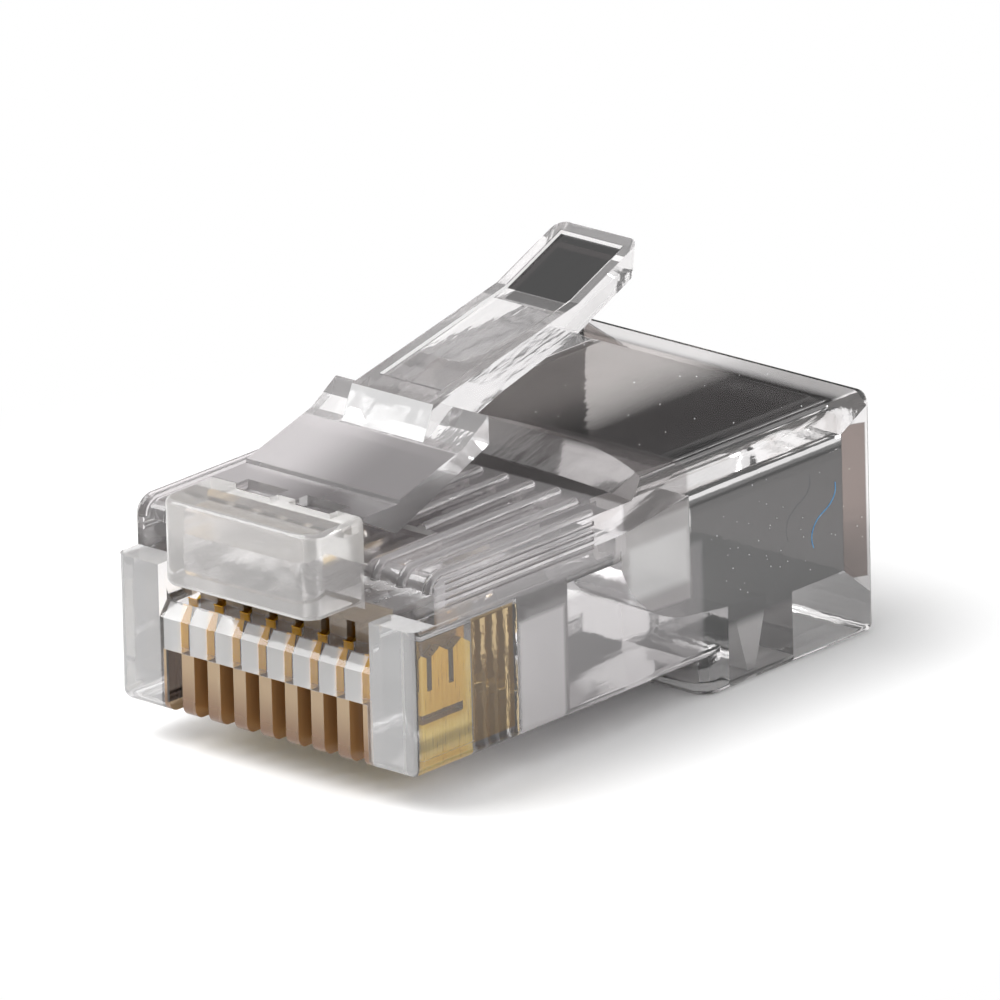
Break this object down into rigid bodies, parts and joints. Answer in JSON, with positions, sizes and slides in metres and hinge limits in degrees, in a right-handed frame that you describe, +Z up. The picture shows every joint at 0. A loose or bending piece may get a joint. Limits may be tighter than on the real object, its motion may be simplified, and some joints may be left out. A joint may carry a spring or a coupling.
{
  "type": "rj45 modular plug",
  "caption": "Clear modular plug with a hinged snap latch, gold piercing contacts in a comb of slots, a grooved wire space and two strain-relief bars",
  "frame": {"origin": "centre of the bounding box on its bottom plane, which is the underside of the foot", "axes": "+X across the contacts, +Y from the nose to the cable end, +Z up towards the latch"},
  "size_m": [0.0116, 0.0218, 0.0129],
  "materials": {
    "clear_housing": "clear moulded polycarbonate, frosted nose",
    "clear_latch": "clear moulded polycarbonate",
    "clear_bar": "clear moulded polycarbonate",
    "gold_contact": "gold-plated phosphor bronze"
  },
  "bodies": {
    "housing": {"housing": "clear_housing"},
    "latch": {"latch": "clear_latch"},
    "jacket_clamp_bar": {"jacket_clamp_bar": "clear_bar"},
    "wire_clamp_bar": {"wire_clamp_bar": "clear_bar"},
    "contact_1": {"contact_1": "gold_contact"},
    "contact_2": {"contact_2": "gold_contact"},
    "contact_3": {"contact_3": "gold_contact"},
    "contact_4": {"contact_4": "gold_contact"},
    "contact_5": {"contact_5": "gold_contact"},
    "contact_6": {"contact_6": "gold_contact"},
    "contact_7": {"contact_7": "gold_contact"},
    "contact_8": {"contact_8": "gold_contact"}
  },
  "joints": [
    {"name": "latch_flex", "type": "hinge", "parent": "housing", "child": "latch", "pos_m": [0, -0.00855, 0.00833], "axis": [1, 0, 0], "range_deg": [-15, 0], "stiffness_Nm_per_rad": 0.05},
    {"name": "jacket_clamp", "type": "hinge", "parent": "housing", "child": "jacket_clamp_bar", "pos_m": [0, 0.00496, 0.00225], "axis": [1, 0, 0], "range_deg": [0, 25]},
    {"name": "wire_clamp", "type": "hinge", "parent": "housing", "child": "wire_clamp_bar", "pos_m": [0, -0.0041, 0.00371], "axis": [1, 0, 0], "range_deg": [0, 20]},
    {"name": "contact_1_crimp", "type": "slide", "parent": "housing", "child": "contact_1", "axis": [0, 0, 1], "range_m": [0, 0.0006]},
    {"name": "contact_2_crimp", "type": "slide", "parent": "housing", "child": "contact_2", "axis": [0, 0, 1], "range_m": [0, 0.0006]},
    {"name": "contact_3_crimp", "type": "slide", "parent": "housing", "child": "contact_3", "axis": [0, 0, 1], "range_m": [0, 0.0006]},
    {"name": "contact_4_crimp", "type": "slide", "parent": "housing", "child": "contact_4", "axis": [0, 0, 1], "range_m": [0, 0.0006]},
    {"name": "contact_5_crimp", "type": "slide", "parent": "housing", "child": "contact_5", "axis": [0, 0, 1], "range_m": [0, 0.0006]},
    {"name": "contact_6_crimp", "type": "slide", "parent": "housing", "child": "contact_6", "axis": [0, 0, 1], "range_m": [0, 0.0006]},
    {"name": "contact_7_crimp", "type": "slide", "parent": "housing", "child": "contact_7", "axis": [0, 0, 1], "range_m": [0, 0.0006]},
    {"name": "contact_8_crimp", "type": "slide", "parent": "housing", "child": "contact_8", "axis": [0, 0, 1], "range_m": [0, 0.0006]}
  ],
  "couplings": [
    {"joint": "contact_2_crimp", "follows": "contact_1_crimp", "ratio": 1},
    {"joint": "contact_3_crimp", "follows": "contact_1_crimp", "ratio": 1},
    {"joint": "contact_4_crimp", "follows": "contact_1_crimp", "ratio": 1},
    {"joint": "contact_5_crimp", "follows": "contact_1_crimp", "ratio": 1},
    {"joint": "contact_6_crimp", "follows": "contact_1_crimp", "ratio": 1},
    {"joint": "contact_7_crimp", "follows": "contact_1_crimp", "ratio": 1},
    {"joint": "contact_8_crimp", "follows": "contact_1_crimp", "ratio": 1}
  ]
}
